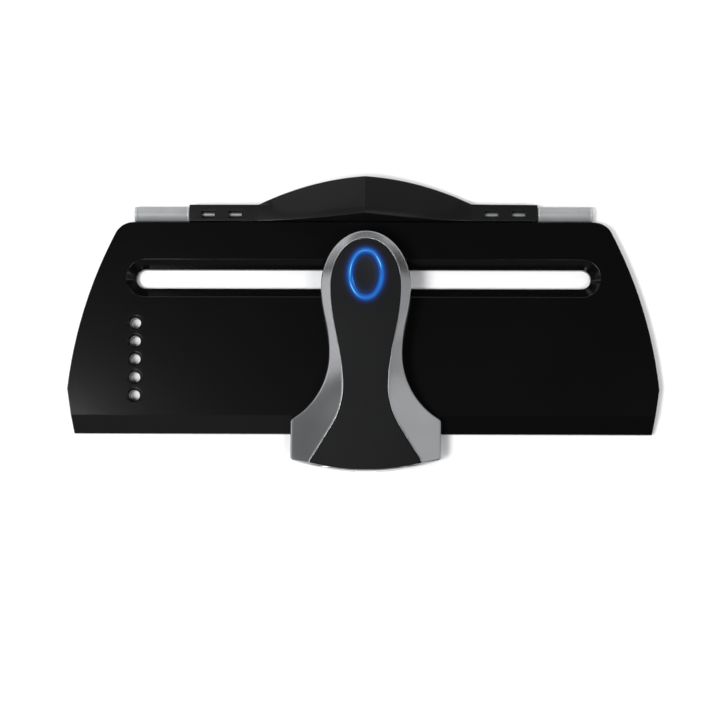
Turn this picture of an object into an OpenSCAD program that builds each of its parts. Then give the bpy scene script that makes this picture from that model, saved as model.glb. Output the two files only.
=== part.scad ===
// Print calibrator: a strip guide that rolls over a printed chart, and a reader that slides along its slot.
// Millimetres. +X runs along the slot, +Y to the rear, +Z up from the table.

/* [Guide plate] */
// Width of the plate at its shoulders
plate_w = 334; // [320:1:350]
// Width of the plate along its front edge
plate_front_w = 326; // [312:1:330]
// Slot line to the plate's rear edge
plate_rear = 32.1; // [30:0.1:37]
// Slot line to the plate's front edge
plate_front = 88.3; // [86.5:0.1:91]
// Shoulders behind the front edge
shoulder = 25.1; // [15:0.1:35]
// Radius of the bowed sides
side_r = 253; // [240:1:300]
// Radius of the rear corners
corner_r = 11.2; // [6:0.1:14]
// Top of the plate above the table
plate_h = 10; // [9:0.1:12]
// Gap under the plate's rim
rim_gap = 0.8; // [0.6:0.1:1]
// Wall of the plate
skin = 2.2; // [1.6:0.1:2.6]
// Depth of the front bevel
bevel_d = 10.3; // [6:0.1:12]
// Drop of the front bevel
bevel_drop = 4; // [2:0.1:4.5]
// Thickness of the cross ribs
rib_t = 1.6; // [1:0.1:2.4]
// Depth of the cross ribs under the skin
rib_d = 3.6; // [2:0.1:4.5]

/* [Slot and sight holes] */
// Length of the slot
slot_l = 258.5; // [240:0.5:262]
// Width of the slot
slot_w = 10.8; // [10.4:0.1:12]
// Width of the sloped trough round the slot
trough_w = 5.35; // [3:0.05:6]
// Depth of the trough
trough_d = 5.3; // [3:0.1:6.5]
// Number of sight holes
sight_n = 5; // [3:1:5]
// Diameter of a sight hole
sight_d = 6.2; // [4.5:0.1:7]
// Diameter of a sight hole's countersink
sight_rim_d = 8.6; // [7.4:0.1:9.4]
// Depth of that countersink
sight_sink = 1.3; // [0.8:0.1:1.8]
// Pitch of the sight holes
sight_pitch = 10.27; // [9.5:0.01:10.8]
// Sight holes inside the plate's left shoulder
sight_set = 38; // [32:0.1:45]
// Slot line to the first sight hole
sight_y = 25.8; // [23:0.1:28]

/* [Roller] */
// Diameter of the rollers
roller_d = 9; // [8:0.1:9.4]
// Length of each roller with its collars
roller_l = 31.3; // [24:0.1:32]
// Length of a roller collar
collar_l = 1.6; // [1:0.1:3]
// Diameter of the axle
axle_d = 5; // [4:0.1:5.2]
// Plate's rear edge to the axle
axle_set = 5.3; // [5:0.1:6]
// Wall of an axle bush
bush_t = 0.75; // [0.6:0.05:0.9]
// Running gap round the axle
axle_gap = 0.05; // [0.02:0.01:0.1]
// End gap between roller and cover
roller_gap = 0.3; // [0.2:0.05:0.6]

/* [Roller cover and hood] */
// Length of the roller cover
cover_l = 198; // [190:0.5:206]
// Depth of the roller cover
cover_d = 9.4; // [9:0.1:10.4]
// Top of the cover above the table
cover_h = 10.8; // [10:0.1:12.5]
// Wall of the cover
cover_t = 1.5; // [1.2:0.1:1.7]
// End walls of the cover, which hold the bushes
end_t = 3; // [2:0.1:5]
// Gap between the plate and the cover
cover_gap = 0.6; // [0.3:0.1:0.8]
// Length of a cover window
window_l = 7.4; // [5:0.1:10]
// Width of a cover window
window_w = 4.3; // [3:0.1:5]
// Windows in front of the axle
window_set = 0.9; // [0:0.1:1.2]
// Inner windows from the centre
window_in = 72.9; // [70:0.1:75]
// Outer windows from the centre
window_out = 88.3; // [87:0.1:90]
// Length of the hood
hood_l = 122; // [100:1:130]
// Ridge of the hood from the guide's middle
hood_x = 1.2; // [-2:0.1:2]
// Ridge of the hood above the cover
hood_rise = 14.7; // [8:0.1:18]
// Reach of the hood behind the cover
hood_reach = 14.3; // [10:0.1:18]
// Wall of the hood
hood_t = 2.2; // [1.6:0.1:2.6]
// Lean of the hood's front face
hood_lean = 2.2; // [1:0.1:3]
// Cover's front to the crease along the roof
hood_crease = 6.3; // [5:0.1:8]
// Fall of the roof behind the crease, in degrees
hood_fall = 10; // [4:1:14]

/* [Reader outline] */
// Reader's place along the slot
reader_x = 2; // [-20:0.1:20]
// Width of the head
head_w = 50.4; // [49:0.2:54]
// Slot line to the head's rear end
head_rear = 24.3; // [23.5:0.1:28]
// Widest line of the head in front of the slot line
head_set = 7.7; // [4:0.1:9]
// Width of the waist
waist_w = 40.8; // [39:0.2:44]
// Slot line to the waist
waist_set = 44.6; // [41:0.1:46]
// Radius of the flare below the waist
flare_r = 41; // [39:0.5:48]
// Width of the foot
foot_w = 84.4; // [80:0.2:86]
// Slot line to the foot's front
foot_front = 109.6; // [107:0.1:113]
// Bow of the foot's front edge
foot_bow = 6.6; // [5:0.1:8]
// Width of the face at the head
face_w = 39; // [37:0.2:40]
// Widest line of the face in front of the slot line
face_set = 7.5; // [6:0.1:9]
// Slot line to the face's rear end
face_rear = 19.1; // [18.5:0.1:20]
// Width of the face at its waist
face_waist_w = 24.8; // [23:0.2:27]
// Slot line to the waist of the face
face_waist_set = 62.5; // [59:0.5:65]
// Radius of the face's flare
face_flare_r = 42; // [38:0.5:48]
// Width of the face at its front corners
face_foot_w = 63; // [58:0.5:66]
// Front rim left at the middle of the foot
front_rim = 0.8; // [0.6:0.1:1.6]

/* [Reader heights and walls] */
// Top of the face above the table
top_z = 35; // [33:0.1:38]
// Top of the face at the front
front_z = 24; // [22:0.1:27]
// Fall of the face towards the head's rear end
rear_fall = 4; // [2:0.1:6]
// Fall of the face from its middle to the head's sides
crown = 0.8; // [0.3:0.1:1.2]
// Outer edge of the band at the head
head_edge_z = 30; // [27:0.1:32]
// Outer edge of the band at the waist
waist_edge_z = 28; // [25:0.1:30]
// Outer edge of the wings
wing_edge_z = 16.2; // [15:0.1:19]
// Outer edge of the wings at the foot's front corners
foot_edge_z = 17.8; // [17:0.1:20]
// Bulge of the band, as a share of its width
band_bulge = 0.01; // [0:0.01:0.12]
// Wall of the housing
shell_t = 2.2; // [1.6:0.1:2.6]
// Draft of the housing's outer wall
tuck = 0.2; // [0:0.1:1]
// Thickness of the face
face_t = 2; // [1.6:0.1:2.4]
// Ledge that carries the face
ledge_w = 1.2; // [0.8:0.1:1.6]
// Thickness of that ledge
ledge_t = 1.6; // [1.2:0.1:2]
// Thickness of the base
base_t = 1.6; // [1.4:0.1:2]
// Thickness of the reader's glides
glide_t = 0.6; // [0.4:0.1:1]
// Gap between the foot and the plate's front edge
foot_gap = 0.6; // [0.4:0.1:1]
// Gap between the foot and the table
foot_clear = 0.8; // [0.5:0.1:1.2]

/* [Button and light ring] */
// Button in front of the slot line
ring_set = 1; // [0:0.1:2]
// Width of the light ring
ring_w = 20.2; // [19:0.1:22]
// Length of the light ring
ring_l = 28.8; // [27:0.1:30]
// Width of the button
button_w = 13.8; // [12:0.1:14.4]
// Length of the button
button_l = 22.2; // [20:0.1:23]
// Travel of the button
button_travel = 0.8; // [0.4:0.1:1]
// Gap round the button
button_gap = 0.15; // [0.1:0.05:0.25]
// Ring and button above the face
ring_proud = 0.3; // [0.1:0.05:0.6]

/* [Optics and electronics] */
// Diameter of the measuring nose
nose_d = 10.2; // [9.4:0.1:10.4]
// Gap between the nose and the table
nose_clear = 0.6; // [0.4:0.1:1]
// Bore of the nose
nose_bore = 6; // [5:0.1:6.4]
// Sighting aperture in the nose
aperture_d = 4.4; // [3:0.1:4.8]
// Thickness of the aperture window
window_t = 0.8; // [0.5:0.1:1.2]
// Diameter of the optics block
optics_d = 26; // [24:0.5:28]
// Height of the optics block
optics_h = 7; // [6:0.1:7.4]
// Number of lamp LEDs
lamp_n = 8; // [4:1:8]
// Thickness of the circuit boards
board_t = 1.4; // [1:0.1:1.6]
// Head board above the reader's base
head_board_rise = 10.2; // [10:0.1:10.6]
// Main board above the reader's base
main_board_rise = 3; // [2.5:0.1:4]
// USB board above the foot's floor
usb_board_rise = 2; // [1.5:0.1:2.5]
// Number of LEDs under the light ring
ring_led_n = 8; // [4:1:8]
// Width of the USB notch in the front rim
notch_w = 12; // [11:0.1:14]
// Top of the USB notch above the table
notch_h = 11.4; // [10.8:0.1:12.4]

/* [Hidden] */
$fn = 96;
// Overlap of cuts past the faces that they open
eps = 0.5;
// Gap of parts that are laid into one another
fit = 0.1;
// Gap of a screw in its bore
screw_fit = 0.02;
// Gap between the reader's glides and the plate
slide_gap = 0.05;

// Places behind the plate
cover_front = plate_rear + cover_gap;
cover_rear = cover_front + cover_d;
hood_rear = cover_rear + hood_reach;
axle_y = plate_rear + axle_set;
axle_z = roller_d / 2;
crease_y = cover_front + hood_crease;
roller_x = cover_l / 2 + roller_gap;
// The origin stands under the middle of the whole object
frame_y = (foot_front - hood_rear) / 2;

// Centres of the arcs in the plate's outline
side_cx = plate_w / 2 - sqrt(side_r * side_r - shoulder * shoulder);
corner_y = plate_rear - corner_r;
corner_rise = corner_y + plate_front;
corner_run = sqrt(pow(side_r - corner_r, 2) - corner_rise * corner_rise);
corner_x = side_cx + corner_run;

// Fastenings of the guide
tab_x = [-86, -26, 26, 86];
tab_w = 16;
tab_reach = 13;
tab_t = 2;
tab_hole_set = 7.5;
tab_drop = 2.4;
tab_z = plate_h - skin - tab_drop - tab_t;
rib_x = [-112, -56, 56, 112];
foot_pad_d = 9;
foot_pad_in = 15;
foot_pad_mid = 60;
foot_pad_out = plate_front_w / 2 - foot_pad_in;
foot_pad_x = [-foot_pad_out, -foot_pad_mid, foot_pad_mid, foot_pad_out];
foot_pad_set = 11.5;

// Screws
screw_d = 2.2;
screw_head_d = 4.4;
screw_head_h = 1.6;
screw_hole_d = 2.7;
boss_d = 6;
cover_screw_l = tab_t + tab_drop + skin / 2;
base_screw_l = 11;
board_screw_l = 7;

// Levels of the reader
base_z = plate_h + glide_t;
base_top = base_z + base_t;
floor_top = foot_clear + base_t;
wall_lift = 0.2;
step_y = -plate_front - foot_gap;
riser_y = step_y - base_t;
seat_gap = 0.15;
screw_deep = 2.6;
post_h = 5.4;
post_d = 6.8;
head_glide_x = 2.5;
head_glide_y = 14.5;
head_glide_l = 8;
head_glide_w = 3.5;
wing_glide_x = 18;
wing_glide_y = 76;
wing_glide_l = 12;
wing_glide_w = 4;
head_post = [13.6, -20.5];
foot_post = [18, -98];

// Face's stations in front of the housing's, and its corners in front of the foot's
face_lag = 5;
corner_rim = 1.9;
// Power of the edge's fall from the waist to the wings
wing_fall = 1.2;

// Fineness of the reader's lofts
apex = 4;
head_n = 9;
neck_n = 6;
flare_n = 8;
front_u = [1, 0.86, 0.7, 0.5, 0.3, 0.15, 0];

// Levels inside the head
flange_t = 1.4;
optics_z = base_top + flange_t;
lamp_z = optics_z + optics_h;
lamp_board_t = 1;
lamp_r = 8.5;
lamp_led_d = 3;
lamp_led_h = 3;
detector_d = 5.4;
detector_h = 3.4;
head_board_z = base_top + head_board_rise;
head_board_top = head_board_z + board_t;
head_board_size = [31, 29];
head_hole = [13, 12];
board_post_d = 5;
led_h = 1;
led_w = 1.6;
switch_w = 6.2;
switch_h = 3.4;
plunger_d = 3.5;
plunger_gap = 0.1;
plunger_end = 1.3;
stem_d = 5;
ring_top = top_z + ring_proud;
button_sink = 0.1;
button_top = ring_top - button_sink;
lip_z = top_z - face_t;
lip_w = 1.2;
flange_w = 1.0;
ring_flange = 2.4;
ring_flange_t = 1.3;
ring_flange_drop = 0.8;
ring_flange_top = lip_z - ring_flange_drop;
button_flange_gap = 0.3;
button_flange_t = 1.4;
stem_end = head_board_top + switch_h + plunger_end;

// Levels of the neck and foot
main_board_z = base_top + main_board_rise;
main_board_top = main_board_z + board_t;
main_board_w = 25;
main_board_rear = -27;
main_board_front = -83;
main_hole_x = 9.5;
main_hole_set = 4;
processor_w = 10;
chip_w = 6;
chip_h = 1.4;
chip_gap = 3;
usb_gap = 1.5;
usb_set = 2.8;
usb_sink = 0.6;
usb_front = -foot_front + usb_set;
usb_board_z = floor_top + usb_board_rise;
usb_board_top = usb_board_z + board_t;
usb_board_w = 22;
usb_board_rear = riser_y - usb_gap;
usb_board_front = usb_front + usb_sink;
usb_hole_x = 8.2;
usb_hole_set = 3;
usb_w = 7.8;
usb_h = 4;
usb_l = 9.2;
usb_wall = 0.4;
ribbon_t = 0.3;
ribbon_w = 10;
ribbon_lap = 4;
ribbon_in = 1;

function lerp(a, b, t) = a + (b - a) * t;
function ease(t) = (1 - cos(180 * t)) / 2;
function limit(v, lo, hi) = min(max(v, lo), hi);
function unit(v) = v / norm(v);

// Height of the hood's roof over the table
function gable(x) = cover_h + hood_rise * pow(max(0, 1 - abs(x) / (hood_l / 2)), 1.5);

// Height of the face along its middle
flat_rear = ring_l / 2 - ring_set;
flat_front = -ring_l / 2 - ring_set;
function crest(y) =
    y > flat_rear ? top_z - rear_fall * pow((y - flat_rear) / (head_rear - flat_rear), 2)
    : y < flat_front ? lerp(top_z, front_z, ease((flat_front - y) / (flat_front + foot_front)))
    : top_z;
function face_top(x, y) = crest(y) - crown * pow(2 * x / face_w, 2);

// Half width of the face in front of the head
function face_half(y) =
    y > -face_waist_set
    ? lerp(face_w, face_waist_w, ease((-y - face_set) / (face_waist_set - face_set))) / 2
    : face_waist_w / 2 + face_flare_r - sqrt(pow(face_flare_r, 2) - pow(y + face_waist_set, 2));

// Right half of the reader's outlines from the rear to the front: a point on the housing, a point on the face
// and the height of the housing's edge
flare_angle = acos(1 - (foot_w - waist_w) / 2 / flare_r);
wing_y = -waist_set - flare_r * sin(flare_angle);
corner_front = -foot_front + foot_bow;
front_r = (pow(foot_w / 2, 2) + foot_bow * foot_bow) / 2 / foot_bow;
face_mid = -waist_set - face_lag;
face_flare_end = wing_y - face_lag;
face_corner = [face_foot_w / 2, corner_front - corner_rim];
face_front = -foot_front + front_rim;
head_stations = [for (k = [0:head_n])
    let (a = (90 - apex) * (1 - k / head_n)) [
        [head_w / 2 * cos(a), -head_set + (head_rear + head_set) * sin(a)],
        [face_w / 2 * cos(a), -face_set + (face_rear + face_set) * sin(a)],
        head_edge_z
    ]];
neck_stations = [for (k = [1:neck_n])
    let (t = k / neck_n, y = lerp(-face_set, face_mid, t)) [
        [lerp(head_w, waist_w, ease(t)) / 2, lerp(-head_set, -waist_set, t)],
        [face_half(y), y],
        lerp(head_edge_z, waist_edge_z, ease(t))
    ]];
flare_stations = [for (k = [1:flare_n])
    let (t = k / flare_n, a = flare_angle * t, y = lerp(face_mid, face_flare_end, t)) [
        [waist_w / 2 + flare_r * (1 - cos(a)), -waist_set - flare_r * sin(a)],
        [face_half(y), y],
        lerp(waist_edge_z, wing_edge_z, pow(t, wing_fall))
    ]];
side_y = [step_y + 0.01, step_y - 0.01, (step_y + corner_front) / 2, corner_front];
face_flare_x = face_half(face_flare_end);
side_stations = [for (y = side_y)
    let (t = (wing_y - y) / (wing_y - corner_front)) [
        [foot_w / 2, y],
        lerp([face_flare_x, face_flare_end], face_corner, t),
        lerp(wing_edge_z, foot_edge_z, t)
    ]];
front_stations = [for (k = [1:len(front_u) - 1])
    let (u = front_u[k], x = foot_w / 2 * u)
    let (q = [face_corner.x * u, lerp(face_front, face_corner.y, u * u)]) [
        [x, -foot_front + front_r - sqrt(front_r * front_r - x * x)],
        q,
        lerp(face_top(q.x, q.y) - front_rim, foot_edge_z, ease(limit(2 * u - 1, 0, 1)))
    ]];
half_stations = concat(head_stations, neck_stations, flare_stations, side_stations, front_stations);
face_rows = len(half_stations) - len(front_stations);
half_n = len(half_stations);
loop_n = 2 * half_n - 1;
stations = [for (i = [0:loop_n - 1])
    let (s = half_stations[i < half_n ? i : loop_n - i - 1], side = i < half_n ? 1 : -1) [
        [side * s[0].x, s[0].y], [side * s[1].x, s[1].y], s[2]
    ]];
outer_loop = [for (s = stations) s[0]];
face_loop = [for (s = stations) s[1]];
edge_z = [for (s = stations) s[2]];
face_z = [for (p = face_loop) face_top(p.x, p.y)];
wall_z = [for (p = outer_loop) (p.y > step_y ? base_z : foot_clear) + wall_lift];

// A closed outline moved inwards by d, with mitred corners
function inset(loop, d) = [for (i = [0:len(loop) - 1])
    let (n = len(loop), p = loop[i], a = unit(p - loop[(i + n - 1) % n]), b = unit(loop[(i + 1) % n] - p))
    let (na = [a.y, -a.x], nb = [b.y, -b.x])
    p + d * (na + nb) / (1 + na * nb)
];

function raised(loop, z) = [for (i = [0:len(loop) - 1]) [loop[i].x, loop[i].y, z[i]]];
function lowered(z, d) = [for (v = z) v - d];

// Faces of a band of m closed loops with n points each, whose last loop joins the first
function band_faces(n, m) = [for (j = [0:m - 1], i = [0:n - 1])
    let (a = j * n, b = ((j + 1) % m) * n, k = (i + 1) % n)
    each [[a + i, b + i, b + k], [a + i, b + k, a + k]]
];

// Faces of a slab with a top grid and a bottom grid of r rows and c columns
function slab_faces(r, c) = concat(
    [for (i = [0:r - 2], j = [0:c - 2])
        let (p = i * c + j) each [[p, p + 1, p + c + 1], [p, p + c + 1, p + c]]],
    [for (i = [0:r - 2], j = [0:c - 2])
        let (p = (r + i) * c + j) each [[p, p + c + 1, p + 1], [p, p + c, p + c + 1]]],
    [for (j = [0:c - 2])
        let (p = j, q = r * c + j) each [[p, q, q + 1], [p, q + 1, p + 1]]],
    [for (j = [0:c - 2])
        let (p = (r - 1) * c + j, q = p + r * c) each [[p, q + 1, q], [p, p + 1, q + 1]]],
    [for (i = [0:r - 2])
        let (p = i * c, q = p + r * c) each [[p, q + c, q], [p, p + c, q + c]]],
    [for (i = [0:r - 2])
        let (p = i * c + c - 1, q = p + r * c) each [[p, q, q + c], [p, q + c, p + c]]]
);

// Drawn from the slot line, the guide's pieces stand in the object's frame
module in_guide() {
    translate([0, frame_y, 0]) children();
}

module in_reader() {
    translate([reader_x, frame_y, 0]) children();
}

// The button, its ring and the board below them share one axis
module in_button() {
    translate([reader_x, frame_y - ring_set, 0]) children();
}

module both_sides() {
    children();
    mirror([1, 0, 0]) children();
}

// A solid with its profile in the YZ plane, centred on x = 0
module along_x(length) {
    rotate([90, 0, 90]) translate([0, 0, -length / 2]) linear_extrude(length) children();
}

module rod_x(d, x0, x1) {
    translate([x0, axle_y, axle_z]) rotate([0, 90, 0]) cylinder(d = d, h = x1 - x0);
}

module stadium(length, width) {
    square([length - width, width], center = true);
    for (s = [-1, 1]) translate([s * (length - width) / 2, 0]) circle(d = width);
}

// An oval of four tangent arcs
module oval(w, l) {
    end_r = w * 0.38;
    end_y = l / 2 - end_r;
    side = (w * w / 4 + end_y * end_y - end_r * end_r) / (w - 2 * end_r);
    side_x = side - w / 2;
    join_y = end_y * side / norm([side_x, end_y]);
    for (s = [-1, 1]) translate([0, s * end_y]) circle(end_r);
    intersection() {
        translate([side_x, 0]) circle(side);
        translate([-side_x, 0]) circle(side);
        square([w, 2 * join_y], center = true);
    }
}

// Outline of the plate moved inwards by d: a tapered front, bowed sides and round rear corners
module plate_outline(d = 0) {
    far = plate_w;
    front = d - plate_front;
    taper = unit([(plate_w - plate_front_w) / 2, shoulder]);
    low = [plate_front_w / 2, -plate_front] + d * [-taper.y, taper.x];
    low_x = low.x - taper.x / taper.y * (low.y - front);
    shoulder_y = shoulder - plate_front;
    shoulder_x = side_cx + sqrt(pow(side_r - d, 2) - shoulder * shoulder);
    wedge_y = corner_y + (far - corner_x) * corner_rise / corner_run;
    polygon([[-low_x, front], [low_x, front], [shoulder_x, shoulder_y], [-shoulder_x, shoulder_y]]);
    intersection() {
        bowed_sides(d);
        polygon([
            [-far, shoulder_y], [far, shoulder_y], [far, wedge_y],
            [corner_x, corner_y], [-corner_x, corner_y], [-far, wedge_y]
        ]);
    }
    translate([-corner_x, 0]) square([2 * corner_x, plate_rear - d]);
    for (s = [-1, 1]) translate([s * corner_x, corner_y]) circle(corner_r - d);
}

module bowed_sides(d) {
    intersection() {
        translate([side_cx, -plate_front]) circle(side_r - d);
        translate([-side_cx, -plate_front]) circle(side_r - d);
    }
}

// What the front bevel takes off, lowered for the inside
module bevel_cut(drop = 0) {
    slope = bevel_drop / bevel_d;
    translate([0, 0, -drop])
        along_x(plate_w + 2)
            polygon([
                [bevel_d - plate_front, plate_h],
                [bevel_d - plate_front, plate_h + skin + eps],
                [-plate_front - 1, plate_h + skin + eps],
                [-plate_front - 1, plate_h - bevel_drop - slope]
            ]);
}

// The sloped trough: a stadium at the floor that widens to the top
module trough(wall = 0) {
    low = slot_w / 2 + wall;
    high = low + trough_w;
    span = slot_l - slot_w;
    translate([0, 0, plate_h - trough_d]) {
        along_x(span) polygon([[-low, 0], [low, 0], [high, trough_d], [-high, trough_d]]);
        for (s = [-1, 1]) translate([s * span / 2, 0, 0]) cylinder(r1 = low, r2 = high, h = trough_d);
    }
}

// Places of the sight holes
module at_sight_holes() {
    for (k = [0:sight_n - 1])
        translate([sight_set - plate_w / 2, -sight_y - k * sight_pitch, 0]) children();
}

module sight_cut() {
    translate([0, 0, rim_gap - eps]) cylinder(d = sight_d, h = plate_h);
    translate([0, 0, plate_h - sight_sink]) cylinder(d1 = sight_d, d2 = sight_rim_d, h = sight_sink);
}

// What stands inside the plate's shell: trough walls, bosses and ribs
module plate_inside() {
    roof = plate_h - skin / 2;
    slot_wall = skin * 0.9;
    trough(skin * 1.2);
    translate([0, 0, rim_gap])
        linear_extrude(plate_h - trough_d + eps - rim_gap)
            stadium(slot_l + 2 * slot_wall, slot_w + 2 * slot_wall);
    at_sight_holes() translate([0, 0, rim_gap])
        cylinder(d = sight_d + 2 * slot_wall, h = roof - rim_gap);
    for (x = foot_pad_x)
        translate([x, foot_pad_set - plate_front, rim_gap])
            cylinder(d = foot_pad_d, h = plate_h - rim_gap);
    for (x = tab_x)
        translate([x, cover_front - tab_hole_set, tab_z + tab_t])
            cylinder(d = boss_d, h = roof - tab_z - tab_t);
    for (x = rib_x)
        translate([x - rib_t / 2, -plate_front, plate_h - skin - rib_d])
            cube([rib_t, plate_front + plate_rear, rib_d + skin / 2]);
}

module guide_plate() {
    color("#161617") in_guide() difference() {
        translate([0, 0, rim_gap]) linear_extrude(plate_h - rim_gap) plate_outline();
        bevel_cut();
        difference() {
            translate([0, 0, rim_gap - eps])
                linear_extrude(plate_h - skin - rim_gap + eps) plate_outline(skin);
            bevel_cut(skin);
            plate_inside();
        }
        translate([0, 0, rim_gap - eps])
            linear_extrude(plate_h - rim_gap) stadium(slot_l, slot_w);
        trough();
        at_sight_holes() sight_cut();
        for (x = tab_x) {
            translate([x - tab_w / 2 - fit, plate_rear - skin - eps, rim_gap - eps])
                cube([tab_w + 2 * fit, skin + 2 * eps, tab_z + tab_t + fit - rim_gap + eps]);
            translate([x, cover_front - tab_hole_set, tab_z])
                cylinder(d = screw_d + 2 * screw_fit, h = cover_screw_l + screw_fit);
        }
    }
}

// The hood's solid under its roof, level up to the crease and falling behind it
module hood_form(drop, z0) {
    half = hood_l / 2;
    steps = 14;
    roof = [for (k = [-steps:steps]) let (x = half * k / steps) [x, gable(x) - drop]];
    start = cover_front - eps;
    rear = hood_rear + 2;
    translate([0, crease_y, 0]) rotate([90, 0, 0])
        linear_extrude(crease_y - start)
            polygon(concat(roof, [[half, z0], [-half, z0]]));
    intersection() {
        translate([0, crease_y, 0]) rotate([-hood_fall, 0, 0]) translate([0, 3 * hood_reach, 0])
            rotate([90, 0, 0]) linear_extrude(4 * hood_reach)
                polygon(concat([for (p = roof) [p.x, p.y * cos(hood_fall)]], [[half, 0], [-half, 0]]));
        translate([-half, crease_y, z0]) cube([hood_l, rear - crease_y, 2 * cover_h + hood_rise]);
    }
}

// Plan of the hood: straight along the cover and bowed at the rear
module hood_plan() {
    bow_r = (pow(hood_l / 2, 2) + hood_reach * hood_reach) / 2 / hood_reach;
    translate([-hood_l / 2, cover_front]) square([hood_l, cover_d]);
    intersection() {
        translate([0, hood_rear - bow_r]) circle(bow_r);
        translate([-hood_l / 2, cover_front]) square([hood_l, hood_rear]);
    }
}

// What leans the hood's front face back, moved in by the wall for the inside
module hood_front(shift) {
    lean = hood_lean / hood_rise;
    top = 2 * (cover_h + hood_rise);
    along_x(hood_l + 2 * eps)
        polygon([
            [cover_front - 2, cover_h - hood_t],
            [cover_front + shift - lean * hood_t, cover_h - hood_t],
            [cover_front + shift + lean * (top - cover_h), top],
            [cover_front - 2, top]
        ]);
}

module hood() {
    difference() {
        intersection() {
            hood_form(0, cover_h - hood_t);
            translate([0, 0, cover_h - hood_t - eps]) linear_extrude(2 * hood_rise + cover_h) hood_plan();
        }
        difference() {
            hood_form(hood_t, cover_h - hood_t - eps);
            hood_front(hood_t);
        }
        hood_front(0);
    }
}

module roller_cover() {
    color("#121213") in_guide() {
        difference() {
            union() {
                translate([-cover_l / 2, cover_front, rim_gap]) cube([cover_l, cover_d, cover_h - rim_gap]);
                for (x = tab_x)
                    translate([x - tab_w / 2, cover_front - tab_reach, tab_z])
                        cube([tab_w, tab_reach + cover_t / 2, tab_t]);
            }
            translate([-cover_l / 2 + end_t, cover_front + cover_t, rim_gap - eps])
                cube([cover_l - 2 * end_t, cover_d - 2 * cover_t, cover_h - cover_t - rim_gap + eps]);
            for (s = [-1, 1], x = [window_in, window_out])
                translate([s * x, axle_y - window_set, cover_h - cover_t - eps])
                    translate([-window_l / 2, -window_w / 2, 0])
                        cube([window_l, window_w, cover_t + 2 * eps]);
            rod_x(axle_d + 2 * bush_t + 2 * axle_gap, -cover_l / 2 - eps, cover_l / 2 + eps);
            for (x = tab_x)
                translate([x, cover_front - tab_hole_set, tab_z - eps])
                    cylinder(d = screw_hole_d, h = tab_t + 2 * eps);
        }
        translate([hood_x, 0, 0]) hood();
    }
}

module axle_bushes() {
    color("#b9a36a") in_guide() both_sides() difference() {
        rod_x(axle_d + 2 * bush_t + 2 * axle_gap, cover_l / 2 - end_t, cover_l / 2);
        rod_x(axle_d + 2 * axle_gap, cover_l / 2 - end_t - eps, cover_l / 2 + eps);
    }
}

// A pan-head screw that stands on z = 0 at the seat of its head, with its point up
module screw(shank_l) {
    translate([0, 0, -screw_head_h]) cylinder(d = screw_head_d, h = screw_head_h);
    cylinder(d = screw_d, h = shank_l);
}

module cover_screws() {
    color("silver") in_guide() for (x = tab_x)
        translate([x, cover_front - tab_hole_set, tab_z]) screw(cover_screw_l);
}

module front_glides() {
    color("#3a3a3c") in_guide() for (x = foot_pad_x)
        translate([x, foot_pad_set - plate_front, 0]) cylinder(d = foot_pad_d, h = rim_gap);
}

module roller_axle() {
    end = roller_x + roller_l - collar_l / 2;
    color("#c9cacb") in_guide() rod_x(axle_d, -end, end);
}

module roller_sleeves() {
    color("#c4c5c6") in_guide() both_sides() difference() {
        rod_x(roller_d, roller_x + collar_l, roller_x + roller_l - collar_l);
        rod_x(axle_d, roller_x, roller_x + roller_l);
    }
}

module roller_collars() {
    color("#e4e5e6") in_guide() both_sides() {
        difference() {
            rod_x(roller_d, roller_x, roller_x + collar_l);
            rod_x(axle_d, roller_x - eps, roller_x + collar_l + eps);
        }
        difference() {
            rod_x(roller_d, roller_x + roller_l - collar_l, roller_x + roller_l);
            rod_x(axle_d, roller_x + roller_l - collar_l - eps, roller_x + roller_l - collar_l / 2);
        }
    }
}

// The silver shell: a band of loops from the wall's foot over the sloped band to the ledge and down inside
module housing_shell() {
    function band_loop(t) = [for (i = [0:loop_n - 1])
        let (p = outer_loop[i], q = face_loop[i])
        let (m = lerp(p, q, t), bulge = band_bulge * norm(q - p) * sin(180 * t))
        [m.x, m.y, lerp(edge_z[i], face_z[i], t) + bulge]];
    inner_z = [for (i = [0:loop_n - 1])
        max(base_top + fit, min(edge_z[i] - shell_t, face_z[i] - face_t - ledge_t - wall_lift))];
    inner = inset(outer_loop, shell_t);
    ledge = inset(face_loop, ledge_w);
    loops = [
        raised(inset(outer_loop, tuck), wall_z),
        raised(outer_loop, lowered(edge_z, 1)),
        band_loop(0.04),
        band_loop(0.35),
        band_loop(0.7),
        band_loop(1),
        raised(face_loop, lowered(face_z, face_t + seat_gap)),
        raised(ledge, lowered(face_z, face_t + seat_gap)),
        raised(ledge, lowered(face_z, face_t + ledge_t)),
        raised(inner, inner_z),
        raised(inner, wall_z),
    ];
    polyhedron(points = [for (l = loops) each l], faces = band_faces(loop_n, len(loops)), convexity = 8);
}

module reader_housing() {
    color("#9a9a9b") in_reader() difference() {
        housing_shell();
        translate([-notch_w / 2, -foot_front - eps, 0]) cube([notch_w, shell_t + foot_bow, notch_h]);
    }
}

// The face's crowned slab, laid into the housing
module face_slab() {
    edge = inset(face_loop, fit);
    columns = [for (k = [1:len(front_u)]) -front_u[k - 1], for (k = [len(front_u) - 2:-1:0]) front_u[k]];
    bow = edge[face_rows - 1].y - edge[half_n - 1].y;
    last = face_rows - 1;
    top = [for (i = [0:last], u = columns)
        let (p = edge[i], b = bow * pow(limit((i - last) / 8 + 1, 0, 1), 2))
        let (y = p.y - b * (1 - u * u))
        [p.x * u, y, face_top(p.x * u, y)]];
    bottom = [for (p = top) [p.x, p.y, p.z - face_t]];
    polyhedron(
        points = concat(top, bottom),
        faces = slab_faces(face_rows, len(columns)),
        convexity = 6
    );
}

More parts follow.
